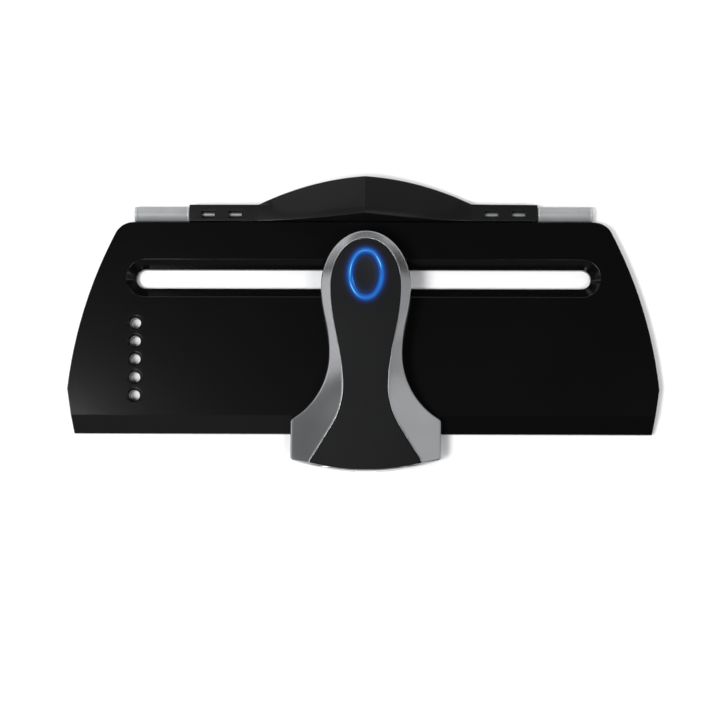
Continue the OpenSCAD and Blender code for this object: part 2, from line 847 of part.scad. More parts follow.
// Screw places of the reader: one at each side of the head and of the foot, with the level of their seat
function post_sites() = [for (s = [-1, 1]) each [
    [s * head_post.x, head_post.y, base_z],
    [s * foot_post.x, foot_post.y, foot_clear]
]];

module reader_face() {
    color("#232425") in_reader() difference() {
        union() {
            face_slab();
            for (p = post_sites())
                translate([p.x, p.y, p.z + post_h])
                    cylinder(d = boss_d, h = face_top(p.x, p.y) - face_t / 2 - p.z - post_h);
        }
        translate([0, 0, lip_z - ring_flange - eps]) linear_extrude(face_t + ring_flange + 2)
            translate([0, -ring_set]) oval(ring_w, ring_l);
        for (p = post_sites())
            translate([p.x, p.y, p.z + screw_deep])
                cylinder(d = screw_d + 2 * screw_fit, h = base_screw_l + screw_fit);
    }
}

module light_ring() {
    color("#2f8df0") in_button() difference() {
        union() {
            translate([0, 0, head_board_top + led_h + fit])
                linear_extrude(ring_top - head_board_top - led_h - fit)
                    oval(ring_w - 2 * fit, ring_l - 2 * fit);
            translate([0, 0, ring_flange_top - ring_flange_t])
                linear_extrude(ring_flange_t) oval(ring_w + 2 * ring_flange, ring_l + 2 * ring_flange);
        }
        translate([0, 0, lip_z - eps]) linear_extrude(ring_top - lip_z + 2 * eps) oval(button_w, button_l);
        translate([0, 0, head_board_top])
            linear_extrude(lip_z - head_board_top) oval(button_w + 2 * lip_w, button_l + 2 * lip_w);
    }
}

module button_cap() {
    flange_top = lip_z - button_flange_gap;
    color("#1b1c1e") in_button() {
        translate([0, 0, flange_top - eps])
            linear_extrude(button_top - flange_top + eps)
                oval(button_w - 2 * button_gap, button_l - 2 * button_gap);
        translate([0, 0, flange_top - button_flange_t])
            linear_extrude(button_flange_t) oval(button_w + 2 * flange_w, button_l + 2 * flange_w);
        translate([0, 0, stem_end]) cylinder(d = stem_d, h = flange_top - stem_end - eps);
    }
}

module switch_plunger() {
    z0 = head_board_top + switch_h - button_travel - plunger_gap;
    color("#d8d4c6") in_button() translate([0, 0, z0]) cylinder(d = plunger_d, h = stem_end - z0);
}

module switch_body() {
    depth = 2 * (button_travel + plunger_gap);
    color("#2b2b2d") in_button() translate([0, 0, head_board_top]) difference() {
        translate([-switch_w / 2, -switch_w / 2, 0]) cube([switch_w, switch_w, switch_h]);
        translate([0, 0, switch_h - depth]) cylinder(d = plunger_d + 2 * plunger_gap, h = depth + eps);
    }
}

// The base's plan inside the housing, between two lines across the reader
module base_plan(y0, y1) {
    intersection() {
        polygon(inset(outer_loop, shell_t + fit));
        translate([-foot_w, y0]) square([2 * foot_w, y1 - y0]);
    }
}

// Boards' posts: place, bottom and top
function board_posts() = concat(
    [for (sx = [-1, 1], sy = [-1, 1])
        [[sx * head_hole.x, sy * head_hole.y - ring_set], base_z, head_board_z]],
    [for (sx = [-1, 1], y = [main_board_rear - main_hole_set, main_board_front + main_hole_set])
        [[sx * main_hole_x, y], base_z, main_board_z]],
    [for (sx = [-1, 1]) [[sx * usb_hole_x, usb_board_rear - usb_hole_set], foot_clear, usb_board_z]]
);

module reader_base() {
    color("#202022") in_reader() difference() {
        union() {
            translate([0, 0, base_z]) linear_extrude(base_t) base_plan(riser_y, head_rear);
            translate([0, 0, foot_clear]) linear_extrude(base_top - foot_clear) base_plan(riser_y, step_y);
            translate([0, 0, foot_clear]) linear_extrude(base_t) base_plan(-foot_front, step_y);
            for (p = post_sites())
                translate([p.x, p.y, p.z]) cylinder(d = post_d, h = post_h);
            for (p = board_posts())
                translate([p[0].x, p[0].y, p[1]]) cylinder(d = board_post_d, h = p[2] - p[1]);
        }
        translate([0, 0, base_z - eps]) cylinder(d = nose_d + 2 * fit, h = base_t + 2 * eps);
        for (p = post_sites()) {
            translate([p.x, p.y, p.z - eps]) cylinder(d = screw_head_d + 2 * fit, h = screw_deep + eps);
            translate([p.x, p.y, p.z]) cylinder(d = screw_hole_d, h = post_h + eps);
        }
        for (p = board_posts())
            translate([p[0].x, p[0].y, max(p[1] + base_t / 2, p[2] + board_t - board_screw_l - screw_fit)])
                cylinder(d = screw_d + 2 * screw_fit, h = board_screw_l + eps);
    }
}

module base_screws() {
    color("silver") in_reader() for (p = post_sites())
        translate([p.x, p.y, p.z + screw_deep]) screw(base_screw_l);
}

// Screws of the boards, heads up, no longer than their posts allow
module board_screws() {
    color("silver") in_reader() for (p = board_posts())
        translate([p[0].x, p[0].y, p[2] + board_t])
            rotate([180, 0, 0]) screw(min(board_screw_l, p[2] + board_t - p[1] - base_t / 2 - screw_fit));
}

module reader_glides() {
    color("#e9e7e0") in_reader() both_sides() {
        translate([head_glide_x, head_glide_y, plate_h + slide_gap])
            cube([head_glide_l, head_glide_w, glide_t - slide_gap]);
        translate([wing_glide_x, -wing_glide_y, plate_h + slide_gap])
            cube([wing_glide_l, wing_glide_w, glide_t - slide_gap]);
    }
}

module aperture_nose() {
    color("#1a1a1b") in_reader() difference() {
        union() {
            translate([0, 0, nose_clear]) cylinder(d = nose_d, h = optics_z - nose_clear);
            translate([0, 0, base_top]) cylinder(d = 2 * nose_d, h = flange_t);
        }
        translate([0, 0, nose_clear - eps]) cylinder(d = aperture_d, h = 3 * window_t);
        translate([0, 0, nose_clear + window_t]) cylinder(d = nose_bore, h = optics_z);
    }
}

module aperture_window() {
    color("#bcd7e4") in_reader() translate([0, 0, nose_clear + window_t])
        cylinder(d = nose_bore - 2 * screw_fit, h = window_t);
}

module optics_block() {
    color("#2a2a2c") in_reader() translate([0, 0, optics_z]) difference() {
        cylinder(d = optics_d, h = optics_h);
        translate([0, 0, -eps]) cylinder(d = nose_bore, h = optics_h + 2 * eps);
        for (k = [0:lamp_n - 1]) rotate(360 * k / lamp_n)
            translate([lamp_r, 0, -eps]) cylinder(d = lamp_led_d + 2 * fit, h = optics_h + 2 * eps);
    }
}

module lamp_board() {
    color("#1f5a3a") in_reader() translate([0, 0, lamp_z]) cylinder(d = optics_d - 1, h = lamp_board_t);
}

module lamp_leds() {
    color("white") in_reader() for (k = [0:lamp_n - 1]) rotate(360 * k / lamp_n)
        translate([lamp_r, 0, lamp_z - lamp_led_h]) cylinder(d = lamp_led_d, h = lamp_led_h);
}

module detector() {
    color("#b08d3c") in_reader() translate([0, 0, lamp_z - detector_h])
        cylinder(d = min(detector_d, nose_bore - 2 * fit), h = detector_h);
}

module head_board() {
    color("#1f5a3a") in_button() translate([0, 0, head_board_z]) difference() {
        linear_extrude(board_t) square(head_board_size, center = true);
        for (sx = [-1, 1], sy = [-1, 1]) translate([sx * head_hole.x, sy * head_hole.y, -eps])
            cylinder(d = screw_hole_d, h = board_t + 2 * eps);
    }
}

module ring_leds() {
    led_r = [(ring_w + button_w + 2 * lip_w) / 4, (ring_l + button_l + 2 * lip_w) / 4];
    color("#e8f2ff") in_button() for (k = [0:ring_led_n - 1])
        let (a = 360 * (k + 0.5) / ring_led_n)
        translate([led_r.x * cos(a) - led_w / 2, led_r.y * sin(a) - led_w / 2, head_board_top])
            cube([led_w, led_w, led_h]);
}

module main_board() {
    color("#1f5a3a") in_reader() difference() {
        translate([-main_board_w / 2, main_board_front, main_board_z])
            cube([main_board_w, main_board_rear - main_board_front, board_t]);
        for (sx = [-1, 1], y = [main_board_rear - main_hole_set, main_board_front + main_hole_set])
            translate([sx * main_hole_x, y, main_board_z - eps])
                cylinder(d = screw_hole_d, h = board_t + 2 * eps);
    }
}

// Chips on the main board: a processor in its middle, two small ones in front of it and one behind it
module board_chips() {
    mid = (main_board_rear + main_board_front) / 2;
    rear = mid + processor_w + chip_gap;
    front = mid - processor_w - chip_gap;
    color("#18181a") in_reader() translate([0, 0, main_board_top]) {
        translate([-processor_w / 2, mid - processor_w / 2, 0]) cube([processor_w, processor_w, chip_h]);
        translate([-chip_w / 2, rear - chip_w / 2, 0]) cube([chip_w, chip_w, chip_h]);
        both_sides() translate([chip_gap, front - chip_w / 2, 0]) cube([chip_w, chip_w, chip_h]);
    }
}

module usb_board() {
    color("#1f5a3a") in_reader() difference() {
        translate([-usb_board_w / 2, usb_board_front, usb_board_z])
            cube([usb_board_w, usb_board_rear - usb_board_front, board_t]);
        for (sx = [-1, 1]) translate([sx * usb_hole_x, usb_board_rear - usb_hole_set, usb_board_z - eps])
            cylinder(d = screw_hole_d, h = board_t + 2 * eps);
    }
}

module usb_inlet() {
    color("#c8cacc") in_reader() translate([0, usb_front, usb_board_top]) difference() {
        translate([-usb_w / 2, 0, 0]) cube([usb_w, usb_l, usb_h]);
        translate([usb_wall - usb_w / 2, -eps, usb_wall])
            cube([usb_w - 2 * usb_wall, usb_l - usb_wall + eps, usb_h - 2 * usb_wall]);
    }
}

module usb_tongue() {
    tongue_w = usb_w / 2;
    tongue_t = 1;
    color("#222224") in_reader()
        translate([-tongue_w / 2, usb_front + 1, usb_board_top + (usb_h - tongue_t) / 2])
            cube([tongue_w, usb_l - usb_wall - 1, tongue_t]);
}

// A flat ribbon that lies on a high board, drops at its edge and lies on a lower one
module ribbon(high_end, high_z, drop_y, low_end, low_z) {
    t = ribbon_t * (low_end < high_end ? 1 : -1);
    color("#c7a85a") in_reader() along_x(ribbon_w)
        polygon([
            [high_end, high_z], [high_end, high_z + ribbon_t], [drop_y - t, high_z + ribbon_t],
            [drop_y - t, low_z + ribbon_t], [low_end, low_z + ribbon_t], [low_end, low_z],
            [drop_y, low_z], [drop_y, high_z]
        ]);
}

module usb_ribbon() {
    high_end = main_board_front + ribbon_lap;
    ribbon(high_end, main_board_top, usb_board_rear - ribbon_in, usb_board_rear - ribbon_lap, usb_board_top);
}

module head_ribbon() {
    edge = -ring_set - head_board_size.y / 2;
    low_end = main_board_rear - ribbon_lap;
    ribbon(edge + ribbon_lap, head_board_z - ribbon_t, edge + ribbon_in, low_end, main_board_top);
}

guide_plate();
roller_cover();
axle_bushes();
cover_screws();
front_glides();
roller_axle();
roller_sleeves();
roller_collars();
reader_housing();
reader_face();
light_ring();
reader_base();
aperture_nose();
aperture_window();
optics_block();
lamp_board();
lamp_leds();
detector();
head_board();
ring_leds();
switch_body();
main_board();
board_chips();
usb_board();
usb_inlet();
usb_tongue();
usb_ribbon();
head_ribbon();
base_screws();
board_screws();
reader_glides();
button_cap();
switch_plunger();
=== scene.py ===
# %% [markdown]
# # A print calibrator, dressed for the studio
# A strip guide lies on the table: a flat black moulding with a long slot, sight holes and two rollers at
# its rear. A hand-held reader with a silver shell and a soft black face slides along the slot. The packed
# solids are the fixed frame of this lesson. Pieces whose shape is right keep their solid and get a finish
# and softened edges. Pieces with flowing forms are worked out again as fine surfaces with numpy, in the
# same place.

# %% Load the frame
import math

import bmesh
import bpy
import numpy as np
from mathutils import Matrix, Vector


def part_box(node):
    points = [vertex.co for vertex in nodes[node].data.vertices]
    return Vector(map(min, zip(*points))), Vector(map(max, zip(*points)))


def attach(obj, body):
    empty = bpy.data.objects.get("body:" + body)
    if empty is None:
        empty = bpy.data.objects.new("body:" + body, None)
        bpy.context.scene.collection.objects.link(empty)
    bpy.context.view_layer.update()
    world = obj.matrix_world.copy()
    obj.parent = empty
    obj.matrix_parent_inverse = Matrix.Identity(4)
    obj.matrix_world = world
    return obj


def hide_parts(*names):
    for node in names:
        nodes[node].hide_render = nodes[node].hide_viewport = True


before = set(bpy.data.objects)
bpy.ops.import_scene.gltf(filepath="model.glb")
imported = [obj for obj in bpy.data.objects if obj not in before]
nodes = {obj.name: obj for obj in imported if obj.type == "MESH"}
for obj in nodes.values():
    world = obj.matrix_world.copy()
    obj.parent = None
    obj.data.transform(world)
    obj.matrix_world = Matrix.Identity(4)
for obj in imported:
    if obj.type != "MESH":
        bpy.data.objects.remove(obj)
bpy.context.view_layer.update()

# %% [markdown]
# ## Camera
# The calibrator is seen from high above, a little from the front. A camera could be aimed by eye. Here its
# place and turns come from a least-squares fit to four points on the table whose distances are known, so
# its matrix is set directly. The three turns are those of the view itself, and their product turned round
# gives the camera's own axes.

# %% Camera
CAMERA_AT = (0.0196, -0.1323, 1.1333)
CAMERA_TURNS = (-5.71, -1.07, -0.14)
SENSOR_MM, LENS_MM, CLIP_M = 36, 100, (0.05, 20)


def turned(rx, ry, rz):
    """Product of the turns about Z, Y and X, by angles in degrees."""
    about = [Matrix.Rotation(math.radians(a), 4, axis) for a, axis in ((rz, "Z"), (ry, "Y"), (rx, "X"))]
    return about[0] @ about[1] @ about[2]


camera = bpy.data.objects.new("camera", bpy.data.cameras.new("camera"))
bpy.context.scene.collection.objects.link(camera)
camera.data.sensor_width = SENSOR_MM
camera.data.lens = LENS_MM
camera.data.clip_start, camera.data.clip_end = CLIP_M
camera.matrix_world = Matrix.Translation(CAMERA_AT) @ turned(*CAMERA_TURNS).transposed()
bpy.context.scene.camera = camera
print("camera", [round(x, 3) for x in camera.matrix_world.translation])

# %% [markdown]
# ## Colours and nodes
# A colour is written as it would be picked on a screen, as sRGB hex, and turned into linear light once. One
# small function adds a shader node with its settings and links, so each finish below reads as a short list.

# %% Colours and nodes
CLOUD_DETAIL, GRAIN_DETAIL, BUMP_STRENGTH = 3.0, 2.0, 0.6


def linear(hex_colour):
    """sRGB hex to linear RGBA: c / 12.92 near black, else ((c + 0.055) / 1.055) ** 2.4."""
    c = np.array([int(hex_colour[k:k + 2], 16) for k in (1, 3, 5)]) / 255
    c = np.where(c <= 0.04045, c / 12.92, ((c + 0.055) / 1.055) ** 2.4)
    return (*c.tolist(), 1.0)


def add(tree, kind, links=None, **settings):
    """A new node: settings name its properties or else its input sockets; links map sockets to outputs."""
    made = tree.nodes.new(kind)
    for name, value in settings.items():
        if hasattr(made, name):
            setattr(made, name, value)
        else:
            made.inputs[name.replace("_", " ")].default_value = value
    for socket, source in (links or {}).items():
        tree.links.new(source, made.inputs[socket])
    return made


def finish(name, **sockets):
    """A Principled material with its constant sockets set directly, as material, tree and shader."""
    material = bpy.data.materials.new(name)
    material.use_nodes = True
    tree = material.node_tree
    shader = tree.nodes["Principled BSDF"]
    for socket, value in sockets.items():
        shader.inputs[socket.replace("_", " ")].default_value = value
    return material, tree, shader


def per_mm(size):
    """Noise scale for features of a real size in millimetres, on coordinates in metres."""
    return 1000 / size


def dressed(name, dark, light, patch, grain, bump, rough, **sockets):
    """A moulded or painted finish: colour clouds of patch mm, roughness grain of grain mm, bump mm high."""
    material, tree, shader = finish(name, **sockets)
    place = add(tree, "ShaderNodeTexCoord").outputs["Object"]
    cloud = add(tree, "ShaderNodeTexNoise", {"Vector": place}, Scale=per_mm(patch), Detail=CLOUD_DETAIL)
    tint = add(tree, "ShaderNodeMix", {"Factor": cloud.outputs["Fac"]}, data_type="RGBA")
    tint.inputs[6].default_value, tint.inputs[7].default_value = linear(dark), linear(light)
    tree.links.new(tint.outputs[2], shader.inputs["Base Color"])
    fine = add(tree, "ShaderNodeTexNoise", {"Vector": place}, Scale=per_mm(grain), Detail=GRAIN_DETAIL)
    gloss = add(tree, "ShaderNodeMapRange", {"Value": fine.outputs["Fac"]}, To_Min=rough[0], To_Max=rough[1])
    tree.links.new(gloss.outputs["Result"], shader.inputs["Roughness"])
    relief = add(tree, "ShaderNodeBump", {"Height": fine.outputs["Fac"]},
                 Strength=BUMP_STRENGTH, Distance=bump / 1000)
    tree.links.new(relief.outputs["Normal"], shader.inputs["Normal"])
    return material, tree, shader


# %% [markdown]
# ## Finishes of the guide
# The guide is injection-moulded ABS: near black, with a satin grain of a few tenths of a millimetre left by
# the spark-eroded tool, under the thin glossy skin that such a moulding keeps. The grain scatters little
# light and the skin mirrors what stands low around it, so it is a dim rough layer under a weak coat. Grain
# that fine is drawn at 0.5 mm so that it shows. The rollers are pale grey grip sleeves between glossier
# collars on a ground steel axle.

# %% Finishes of the guide
abs_satin, _, _ = dressed(
    "abs_satin_black", "#040405", "#070708", 60, 0.5, 0.012, (0.27, 0.35),
    Specular_IOR_Level=0.015, Coat_Weight=0.65, Coat_Roughness=0.12)
abs_cover, _, _ = dressed(
    "abs_cover_black", "#0c0c0d", "#111112", 40, 0.5, 0.010, (0.30, 0.40),
    Specular_IOR_Level=0.12, Coat_Weight=0.3, Coat_Roughness=0.15)
pad_rubber, _, _ = dressed("grip_pad_rubber", "#2b2b2d", "#353537", 5, 0.4, 0.02, (0.75, 0.9))
grip_grey, _, _ = dressed("grip_sleeve_grey", "#7e8081", "#8e9092", 6, 0.6, 0.02, (0.42, 0.55))
collar_pale, _, _ = dressed("collar_acetal_pale", "#96989a", "#a4a6a8", 4, 0.5, 0.003, (0.25, 0.35))
axle_steel, _, _ = dressed(
    "axle_ground_steel", "#606264", "#707274", 3, 0.3, 0.003, (0.45, 0.55), Metallic=1.0)
bush_bronze, _, _ = dressed(
    "bush_sintered_bronze", "#8d744a", "#a3885a", 2, 0.3, 0.01, (0.4, 0.5), Metallic=1.0)
screw_zinc, _, _ = dressed(
    "screw_zinc_plated", "#9fa1a4", "#b8babc", 1.5, 0.3, 0.004, (0.25, 0.38), Metallic=1.0)
print("guide finishes", len(bpy.data.materials))

# %% [markdown]
# ## Finishes of the reader
# The shell is plastic sprayed with silver metallic paint: small flakes lie nearly flat in it, so it is part
# metal, part satin lacquer. The face has a soft-touch coat, which is matt and scatters light at grazing
# angles, hence a little sheen. Flakes are drawn at 0.35 mm, coarser than real ones, so that they show.

# %% Finishes of the reader
silver_paint, _, _ = dressed(
    "silver_metallic_paint", "#8a8b8d", "#959698", 18, 0.35, 0.006, (0.19, 0.25),
    Metallic=0.9, Coat_Weight=0.2, Coat_Roughness=0.3)
base_abs, _, _ = dressed("base_abs_black", "#121213", "#1b1b1d", 25, 0.5, 0.012, (0.45, 0.58))
board_green, _, _ = dressed("board_solder_mask", "#12462c", "#1a5837", 6, 0.8, 0.01, (0.35, 0.45))
chip_epoxy, _, _ = dressed("chip_moulded_epoxy", "#121214", "#1c1c1f", 3, 0.3, 0.01, (0.55, 0.7))
led_lens, _, _ = dressed("led_lens_milky", "#d9d9d0", "#ecece6", 2, 0.4, 0.002, (0.2, 0.3))
gold_can, _, _ = dressed(
    "detector_gold_can", "#b08d4a", "#c7a562", 2, 0.3, 0.003, (0.22, 0.32), Metallic=1.0)
inlet_tin, _, _ = dressed(
    "inlet_tinned_steel", "#a7a9ab", "#bfc1c3", 3, 0.3, 0.004, (0.25, 0.36), Metallic=1.0)
ribbon_film, _, _ = dressed("ribbon_polyimide", "#a06a1c", "#b9802c", 4, 0.5, 0.004, (0.3, 0.4))
glide_film, _, _ = dressed("glide_low_friction", "#d5d2c8", "#e4e1d8", 4, 0.4, 0.004, (0.35, 0.45))
window_glass, _, _ = finish(
    "window_clear_glass", Base_Color=linear("#dfeaf0"), Roughness=0.04, IOR=1.5, Transmission_Weight=0.9)
print("all finishes", len(bpy.data.materials))

# %% [markdown]
# ## The lit ring and its painted spill
# The ring is a frosted light guide with blue lamps under it. It glows deep blue at both borders and azure
# in the middle, and bright streaks run in it where the lamps' light is caught. A colour ramp turns the
# piece's own attribute, the amount of light, into colour. The light that it spills on the soft coat around
# it is painted: the face and the button carry an attribute that fades with the distance from the ring and
# sets the strength of a painted blue glow in their finish.

# %% The lit ring and its painted spill
RING_BLUES = ((0.0, "#082c6c"), (0.3, "#1150a0"), (0.55, "#1b68bc"), (0.75, "#2f90dc"), (1.0, "#7cd4fa"))
# Colour of the painted glow of the ring's light on the soft coat
PAINTED_SPILL_BLUE = "#0d3a86"


def lit_ring(strength):
    """Frosted blue light guide: emission colour from the amount of light in the attribute lit."""
    material, tree, shader = finish(
        "ring_frosted_guide", Base_Color=linear("#061a3c"), Roughness=0.5, Specular_IOR_Level=0.1)
    amount = add(tree, "ShaderNodeAttribute", attribute_name="lit")
    ramp = add(tree, "ShaderNodeValToRGB", {"Fac": amount.outputs["Fac"]})
    stops = ramp.color_ramp.elements
    for at, _ in RING_BLUES[1:-1]:
        stops.new(at)
    for stop, (at, blue) in zip(stops, RING_BLUES):
        stop.position, stop.color = at, linear(blue)
    tree.links.new(ramp.outputs["Color"], shader.inputs["Emission Color"])
    shader.inputs["Emission Strength"].default_value = strength
    return material


def soft_touch_painted_glow(name, dark, light, rough, spill):
    """Soft-touch coat with a painted glow of the ring's light: emission strength from the attribute spill."""
    material, tree, shader = dressed(
        name, dark, light, 45, 0.45, 0.008, rough,
        Sheen_Weight=0.04, Sheen_Roughness=0.5, Specular_IOR_Level=0.06)
    glow = add(tree, "ShaderNodeAttribute", attribute_name="spill")
    power = add(tree, "ShaderNodeMath", {0: glow.outputs["Fac"]}, operation="MULTIPLY")
    power.inputs[1].default_value = spill
    tree.links.new(power.outputs["Value"], shader.inputs["Emission Strength"])
    shader.inputs["Emission Color"].default_value = linear(PAINTED_SPILL_BLUE)
    return material


ring_blue = lit_ring(1.0)
# Both finishes carry a painted blue glow of the ring's light: 1.7 strong on the face, 0.5 on the button.
soft_black = soft_touch_painted_glow("face_soft_touch", "#0e0f10", "#131314", (0.50, 0.62), 1.7)
button_black = soft_touch_painted_glow("button_soft_touch", "#131416", "#1a1b1d", (0.36, 0.48), 0.5)

# %% [markdown]
# ## Finishes on the solids that stay
# Pieces that are exact in the frame keep their solid. Its triangles are loose, so a Weld joins them, a
# narrow Bevel rounds the edges that a mould or a cutter would round, and weighted normals keep the flats
# flat. The shade-smooth flag comes from a tiny node group, because the solid's own mesh is never touched.

# %% Finishes on the solids that stay
SHARP_DEG, CREASE_DEG, BEVEL_DEG = 40, 4, 28
LONG_CREASE_MM, NO_CREASE_MM = 12, 1000
BEVEL_STEPS, SOLID_WELD_M = 3, 1e-6


def smoothing_group(name, crease_mm):
    """Nodes that shade smooth, but for edges over SHARP_DEG or over CREASE_DEG and crease_mm long."""
    group = bpy.data.node_groups.new(name, "GeometryNodeTree")
    group.interface.new_socket("Geometry", in_out="INPUT", socket_type="NodeSocketGeometry")
    group.interface.new_socket("Geometry", in_out="OUTPUT", socket_type="NodeSocketGeometry")
    start = add(group, "NodeGroupInput")
    faces = add(group, "GeometryNodeSetShadeSmooth", {"Geometry": start.outputs[0]}, domain="FACE")
    turn = add(group, "GeometryNodeInputMeshEdgeAngle").outputs["Unsigned Angle"]
    ends = add(group, "GeometryNodeInputMeshEdgeVertices")
    length = add(group, "ShaderNodeVectorMath",
                 {0: ends.outputs["Position 1"], 1: ends.outputs["Position 2"]}, operation="DISTANCE")
    tests = [(turn, math.radians(SHARP_DEG)), (turn, math.radians(CREASE_DEG)),
             (length.outputs["Value"], crease_mm / 1000)]
    over = []
    for value, limit in tests:
        test = add(group, "FunctionNodeCompare", {0: value}, operation="GREATER_THAN")
        test.inputs[1].default_value = limit
        over.append(test.outputs["Result"])
    crease = add(group, "FunctionNodeBooleanMath", {0: over[1], 1: over[2]}, operation="AND")
    sharp = add(group, "FunctionNodeBooleanMath", {0: over[0], 1: crease.outputs[0]}, operation="OR")
    edges = add(group, "GeometryNodeSetShadeSmooth",
                {"Geometry": faces.outputs[0], "Selection": sharp.outputs[0]}, domain="EDGE")
    edges.inputs["Shade Smooth"].default_value = False
    add(group, "NodeGroupOutput", {0: edges.outputs[0]})
    return group


ROUND = smoothing_group("smooth_round", NO_CREASE_MM)
CREASED = smoothing_group("smooth_creased", LONG_CREASE_MM)


def soften(piece, width_mm, group):
    """Weld, an edge round of width_mm, smooth shading and weighted normals, all as modifiers."""
    piece.modifiers.new("weld", "WELD").merge_threshold = SOLID_WELD_M
    edge = piece.modifiers.new("edge", "BEVEL")
    edge.width, edge.segments, edge.limit_method = width_mm / 1000, BEVEL_STEPS, "ANGLE"
    edge.angle_limit, edge.use_clamp_overlap, edge.loop_slide = math.radians(BEVEL_DEG), False, False
    piece.modifiers.new("smooth", "NODES").node_group = group
    piece.modifiers.new("flats", "WEIGHTED_NORMAL").keep_sharp = True


KEPT = {
    "guide_plate": (abs_satin, 0.15), "roller_cover": (abs_cover, 0.3), "axle_bushes": (bush_bronze, 0.1),
    "cover_screws": (screw_zinc, 0.2), "front_glides": (pad_rubber, 0.15), "roller_axle": (axle_steel, 0.3),
    "reader_base": (base_abs, 0.2), "aperture_nose": (base_abs, 0.2), "aperture_window": (window_glass, 0.1),
    "optics_block": (base_abs, 0.2), "lamp_board": (board_green, 0.1), "lamp_leds": (led_lens, 0.3),
    "detector": (gold_can, 0.2), "head_board": (board_green, 0.1), "ring_leds": (led_lens, 0.1),
    "switch_body": (chip_epoxy, 0.15), "main_board": (board_green, 0.1), "board_chips": (chip_epoxy, 0.12),
    "usb_board": (board_green, 0.1), "usb_inlet": (inlet_tin, 0.08), "usb_tongue": (chip_epoxy, 0.08),
    "usb_ribbon": (ribbon_film, 0.04), "head_ribbon": (ribbon_film, 0.04), "base_screws": (screw_zinc, 0.2),
    "board_screws": (screw_zinc, 0.2), "reader_glides": (glide_film, 0.1), "switch_plunger": (led_lens, 0.2),
}
LONG_CREASES = ("guide_plate", "roller_cover")
for node_name, (material, width) in KEPT.items():
    solid = nodes[node_name]
    solid.data.materials.clear()
    solid.data.materials.append(material)
    soften(solid, width, CREASED if node_name in LONG_CREASES else ROUND)
print("solids kept", len(KEPT))

# %% [markdown]
# ## Surfaces from grids
# Every new piece below is a grid of points: one parameter runs round or along it, the other runs across a
# profile. The points of a whole piece are one array, and the faces follow from the grid's own numbering, so
# there is no loop over vertices. A grid that closes on itself both ways is a watertight ring.

# %% Surfaces from grids
MM, WELD_M = 0.001, 1e-7
nose_low, nose_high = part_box("aperture_nose")
READER_X, SLOT_Y = (1000 * (nose_low[k] + nose_high[k]) / 2 for k in (0, 1))


def quads(rows, columns, wrap_rows=False, wrap_columns=False):
    """Faces of a grid: (i, j), (i, j+1), (i+1, j+1), (i+1, j); the last joins the first if wrapped."""
    i, j = np.meshgrid(np.arange(rows if wrap_rows else rows - 1),
                       np.arange(columns if wrap_columns else columns - 1), indexing="ij")
    here, across = i * columns, (i + 1) % rows * columns
    along = (j + 1) % columns
    return np.stack([here + j, here + along, across + along, across + j], -1).reshape(-1, 4)


def piece_from(name, grids, body, material, stands_for, origin=(0, 0), attributes=None):
    """One object from grids of (points, wrap_rows, wrap_columns) in mm, moved by origin and welded."""
    points, faces, count = [], [], 0
    for grid, wrap_rows, wrap_columns in grids:
        rows, columns = grid.shape[:2]
        points.append(grid.reshape(-1, 3))
        faces.append(quads(rows, columns, wrap_rows, wrap_columns) + count)
        count += rows * columns
    points = (np.concatenate(points) + np.array([*origin, 0])) * MM
    mesh = bpy.data.meshes.new(name)
    mesh.from_pydata(points.tolist(), [], np.concatenate(faces).tolist())
    for key, values in (attributes or {}).items():
        layer = mesh.attributes.new(key, "FLOAT", "POINT")
        layer.data.foreach_set("value", values.ravel().astype(np.float32))
    work = bmesh.new()
    work.from_mesh(mesh)
    bmesh.ops.remove_doubles(work, verts=work.verts, dist=WELD_M)
    bmesh.ops.recalc_face_normals(work, faces=work.faces)
    work.to_mesh(mesh)
    work.free()
    mesh.polygons.foreach_set("use_smooth", np.ones(len(mesh.polygons), bool))
    mesh.materials.append(material)
    piece = bpy.data.objects.new(name, mesh)
    bpy.context.scene.collection.objects.link(piece)
    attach(piece, body)
    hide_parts(*stands_for)
    print(name, len(mesh.vertices), "points", len(mesh.polygons), "faces")


def whole_turn(count):
    """Even angles of a whole turn, without the last one, which is the first again."""
    return np.linspace(0, 2 * np.pi, count, endpoint=False)


# %% [markdown]
# ## The reader's outlines
# Seen from above, the reader is a half ellipse at the head, an eased waist, two arcs that flare to the
# wings, straight sides and a bowed front. The face has its own outline inside it. Both are drawn as half
# curves with the same parameter and mirrored. A short Gaussian blur along the curve rounds the corners as
# the mould does.

# %% The reader's outlines
# Sizes in mm: _W is a width, _L a length, _R a radius, _Z or _EDGE a height, and _SET, _REAR or _FRONT a
# distance from the middle line of the slot
HEAD_W, HEAD_REAR, HEAD_SET = 50.4, 24.3, 7.7
WAIST_W, WAIST_SET, FLARE_R = 40.8, 44.6, 41
FOOT_W, FOOT_FRONT, FOOT_BOW = 84.4, 109.6, 6.6
FACE_W, FACE_SET, FACE_REAR = 39, 7.5, 19.1
FACE_WAIST_W, FACE_WAIST_SET, FACE_FLARE_R = 24.8, 62.5, 42
FACE_FOOT_W, FRONT_RIM, CORNER_RIM, FACE_LAG = 63, 0.8, 1.9, 5
HEAD_EDGE, WAIST_EDGE, WING_EDGE, FOOT_EDGE, WING_FALL = 30, 28, 16.2, 17.8, 1.2
TOP_Z, FRONT_Z, REAR_FALL, CROWN = 35, 24, 4, 0.8
RING_SET, RING_W, RING_L = 1, 20.2, 28.8
PLATE_FRONT, FOOT_GAP, CORNER_BLUR = 88.3, 0.6, 0.9
HEAD_STEPS, NECK_STEPS, WING_STEPS, SIDE_STEPS, FRONT_STEPS, HALF_COUNT = 60, 40, 60, 30, 70, 420


def ease(t):
    """Half a cosine wave from 0 to 1."""
    return (1 - np.cos(np.pi * t)) / 2


def mix(a, b, t):
    """Straight blend from a to b."""
    return a + (b - a) * t


